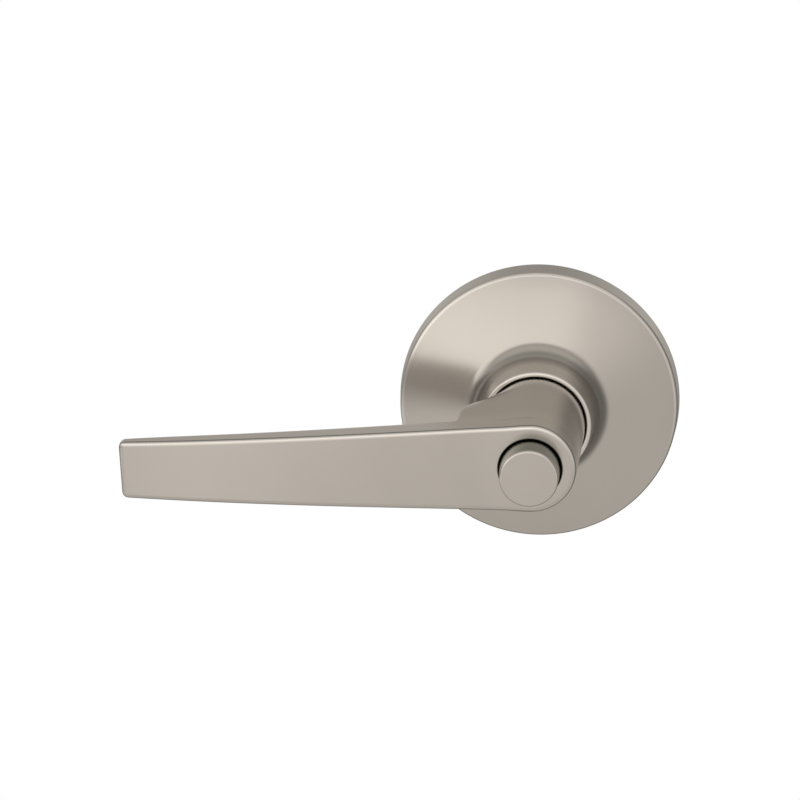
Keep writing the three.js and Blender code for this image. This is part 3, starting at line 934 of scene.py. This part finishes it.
def lever_mesh():
    """Neck, web and arm as one closed skin. Each loop of points comes as an upper and a lower
    half, and each face of the upper half has a mirrored one below."""
    verts, faces = [], []

    def place(points):
        """Adds a half loop and its mirror image below the arm, and returns its indices."""
        first = len(verts)
        verts.extend((x * MM, -out * MM, z * MM) for x, z, out in points)
        verts.extend((x * MM, -out * MM, -z * MM) for x, z, out in points)
        upper = list(range(first, first + len(points)))
        return upper, [i + len(points) for i in upper]

    def mirrored(half, *polygons):
        """Adds faces of the upper half (0) as they are, and of the lower half (1) turned round."""
        faces.extend(polygon[::-1] if half else polygon for polygon in polygons)

    def skin(near, far, count=None):
        """Joins two loops with a strip of faces, over their whole length or so many faces."""
        for half in (0, 1):
            a, b = near[half], far[half]
            for k in range(count or len(a) - 1):
                mirrored(half, [a[k], a[k + 1], b[k + 1], b[k]])

    def strips(upper, lower):
        """Closes a face of the arm with strips across it, and one face for the rounded tip."""
        last = len(upper) - 1 - end_steps - corner_steps
        for k in range(last):
            faces.append([upper[k], upper[k + 1], lower[k + 1], lower[k]])
        faces.append([*upper[last:], *lower[last:-1][::-1]])

    # neck and web, from the end in the collar up to the arm's back
    base_out = arm_back(web_left - web_fillet) + back_round
    fillet_out = base_out - web_fillet
    levels = [neck_end_out, 14, 17, collar_out - 1]
    levels += [mix(collar_out - 1, fillet_out, k / 22) for k in range(1, 23)]
    levels += [fillet_out + web_fillet * math.sin(math.pi / 2 * k / 6) for k in range(1, 6)]
    levels.append(base_out)
    rings = [place([(x, z, out) for x, z in neck_section(out)]) for out in levels]
    for near, far in zip(rings, rings[1:]):
        skin(near, far)
    faces.append(rings[0][0][::-1] + rings[0][1][1:-1])
    base = rings[-1]

    # side wall of hub and arm: barrel-shaped round the hub, and straight along the arm
    edge_depth = edge_profile[0][1]
    wall = []
    for share in (0.88, 0.66, 0.44, 0.22, 0.0):
        loop = []
        for x, z in plate_outline(0, flare=share):
            out = mix(arm_front(x) - edge_depth, arm_back(x) + back_round, share)
            loop.append((x, z, out))
        wall.append(place(loop))
    low = wall[0]
    for near, far in zip(wall, wall[1:]):
        skin(near, far)
    skin(base, low, web_index)

    # rounded back edge of the arm, from its web to the tip
    backs = []
    for step in range(back_steps + 1):
        turn = math.pi / 2 * step / back_steps
        rise = back_round * (1 - math.sin(turn))
        outline = plate_outline(back_round * (1 - math.cos(turn)), flare=1.0)[web_index + 1 :]
        backs.append(place([(x, z, arm_back(x) + rise) for x, z in outline]))
    skin(backs[0], [half[web_index + 1 :] for half in low])
    for near, far in zip(backs, backs[1:]):
        skin(far, near)
    for half in (0, 1):
        web = base[half][web_index : web_index + back_steps + 1]
        arm = [loop[half][0] for loop in backs]
        mirrored(half, [web[0], arm[0], low[half][web_index + 1], low[half][web_index]])
        for k in range(back_steps):
            mirrored(half, [web[k], web[k + 1], arm[k + 1], arm[k]])

    # back face of the arm, in strips across it; the first meets the foot of the web
    upper, lower = backs[-1]
    foot, foot_below = (half[web_index + back_steps :] for half in base)
    faces.append([*foot, *foot_below[-2::-1], lower[0], upper[0]])
    strips(lower, upper)

    # front edge: a tight roll, then a slight crown
    fronts = [wall[-1]]
    for inset, depth in edge_profile[1:]:
        fronts.append(place([(x, z, arm_front(x) - depth) for x, z in plate_outline(inset)]))
    for near, far in zip(fronts, fronts[1:]):
        skin(near, far)
    strips(*fronts[-1])

    mesh = bpy.data.meshes.new("lever_handle_skin")
    mesh.from_pydata(verts, [], faces)
    return mesh


lever = bpy.data.objects.new("lever_handle_skin", lever_mesh())
bpy.context.scene.collection.objects.link(lever)
pick(lever)
bpy.ops.object.mode_set(mode="EDIT")
weld(0.001)

tube_socket = 8.3
socket_end_out = 33
button_hole = 7.2
hole_edge = 0.3
bore_profile = [
    (tube_socket, neck_end_out - 1),
    (tube_socket, socket_end_out),
    (button_hole, socket_end_out),
    (button_hole, hub_out - hole_edge),
    *arc((button_hole + hole_edge, hub_out - hole_edge), hole_edge, 180, 90, 4)[1:],
    (button_hole + hole_edge, hub_out + 1),
]
cut(lever, turned("bore_tool", bore_profile, sides=128))
smoothed(lever)


def lever_edge(x, z, radius):
    """How far a place on the front is from the nearest edge."""
    half = (x / arm_reach + 1) * (arm_root_half - arm_tip_half) + arm_tip_half
    from_side = half - z.math("ABSOLUTE")
    from_tip = x + (arm_reach - arm_draft)
    on_arm = (x * -1.0).step(0, 0.5)
    from_hub = hub_radius - radius + on_arm * 1000.0
    return from_side.math("MINIMUM", from_tip).math("MINIMUM", from_hub)


def lever_painted_highlight(x, out, z, radius):
    """Painted highlight: the rolled front edge, round the top of hub and arm, is lightened in
    colour.
    """
    edge = lever_edge(x, z, radius)
    in_front = out.step(hub_out - 1.6, hub_out - 1.1)
    on_top = z.step(-3, 3) * (x + arm_reach).step(0.2, 0.9)
    return in_front * on_top * (1 - edge.step(0.4, 0.9)) * edge.step(0, 0.25) * 0.75


def lever_painted_shade(x, out, z, radius):
    """Painted shade: neck, web and the arm's back are darker in colour than the arm's front, and a
    fine painted dark line runs where the painted highlight on the edge ends and along the lower
    edges."""
    along = ((x * -1.0 - hub_radius) / (arm_reach - hub_radius)).math("MAXIMUM", 0.0)
    depth = arm_bow(along) - out + hub_out
    line = depth.band(0.25, 0.35, 0.6, 0.8)
    on_tip = 1 - (x + (arm_reach - arm_draft)).step(0.15, 0.4)
    below = (1 - z.step(-4, 0)).math("MAXIMUM", on_tip)
    low_edge = (1 - lever_edge(x, z, radius).step(0.12, 0.42)) * below
    line = line.math("MAXIMUM", low_edge * (1 - depth.step(0.9, 1.2)) * 0.65)
    return line * 0.9 + depth.step(6.0, 13.0) * 0.14


brushed_nickel = satin_nickel("brushed_satin_nickel", "straight", lever_painted_highlight, lever_painted_shade)
stands_for(lever, "lever", brushed_nickel, "satin_nickel", "lever_handle")


# Set screw. It is a black oxide steel grub screw with a hexagon socket, which clamps the lever to
# the drive tube from below.

black_oxide = worked_metal(
    "black_oxide", (0.015, 0.016, 0.018), (0.045, 0.045, 0.048), 0.42, 2, 0.1, 0.002
)
set_screw_out = 25.5
screw_profile = [(1.6, 8.3), (2.2, 8.8), (2.2, 10.75), (1.95, 11)]
set_screw = turned("lever_set_screw_skin", screw_profile, sides=40)
cut(set_screw, turned("hex_socket", [(1.25, 9.4), (1.25, 12)], sides=6))
smoothed(set_screw)
set_screw.rotation_euler = (math.pi / 2, 0, 0)
moved(set_screw, y=-set_screw_out)
stands_for(set_screw, "lever", black_oxide, "black_oxide_steel", "lever_set_screw")


# Spindle. It is a square steel bar with a bore for the lock rod, and turns the latch in the door.
# A collar pressed on it keeps it from sliding out.

spindle = block("spindle_skin", 7, 7, -46, 12)
spindle = rounded(spindle, 0.45, segments=2)
cut(spindle, turned("rod_bore", [(2.1, -47), (2.1, 13)], sides=48))
smoothed(spindle)
stands_for(spindle, "lever", bare_steel, "plain_steel", "spindle")
keeps(bare_steel, "spindle_collar")


# Button guide and button spring. A nylon seat is clamped between lever and drive tube, and its
# spring of fine wire pushes the button out.

keeps(nylon, "button_guide")
button_spring_seat = 32.7
button_spring_path = coil(4.35, 7, 0, button_spring_seat + 0.45, 53.0)
button_spring = wire("button_spring_skin", button_spring_path, 0.4)
stands_for(button_spring, "lever", spring_steel, "spring_steel", "button_spring")
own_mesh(button_spring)


# Push button. It is a hollow brass cap, satin nickel plated, with a softly rounded edge. Inside
# it a boss takes the end of the lock rod.

button_radius = 6.65
button_foot_radius = 6.9
button_inner_radius = 5.8
button_out = 56.2
button_foot_out = 42.3
button_edge = 0.4
boss_radius = 2.9
boss_out = 45
ceiling_out = 53.45
button_profile = [
    (1.8, 52.95),
    (1.8, boss_out),
    (boss_radius, boss_out),
    (boss_radius, ceiling_out),
    (button_inner_radius, ceiling_out),
    (button_inner_radius, button_foot_out),
    (button_foot_radius, button_foot_out),
    (button_foot_radius, hub_out),
    *arc((button_radius - button_edge, button_out - button_edge), button_edge, 0, 90, 6),
]


def button_painted_highlight(x, out, z, radius):
    """Painted highlight: the upper edge of the button's face is lightened in colour."""
    edge = radius.step(button_radius - 0.5, button_radius - 0.3)
    return edge * out.step(button_out - 0.45, button_out - 0.3) * z.step(-2, 3) * 0.8


def button_painted_shade(x, out, z, radius):
    """Painted shade: the button's flank is darkened in colour."""
    flank = radius.step(button_radius - 0.2, button_radius - 0.05)
    return flank * (1 - out.step(button_out - 0.6, button_out - 0.3)) * 0.85


button_nickel = satin_nickel("button_satin_nickel", "round", button_painted_highlight, button_painted_shade)
button = smoothed(turned("button_cap_skin", button_profile, sides=128))
stands_for(button, "push_button", button_nickel, "satin_nickel", "button_cap")


# Lock rod. It is a turned steel rod that joins the button to the lock on the far side of the door,
# and a snap ring on it stops the button from coming out.

rod_profile = [
    (1.1, -50),
    (1.5, -49.6),
    (1.5, 29.7),
    (1.1, 29.7),
    (1.1, 30.9),
    (1.5, 30.9),
    (1.5, 52.4),
    (1.3, 52.6),
]
lock_rod = smoothed(turned("lock_rod_skin", rod_profile, sides=48))
stands_for(lock_rod, "push_button", bare_steel, "plain_steel", "lock_rod")
keeps(spring_steel, "rod_clip")
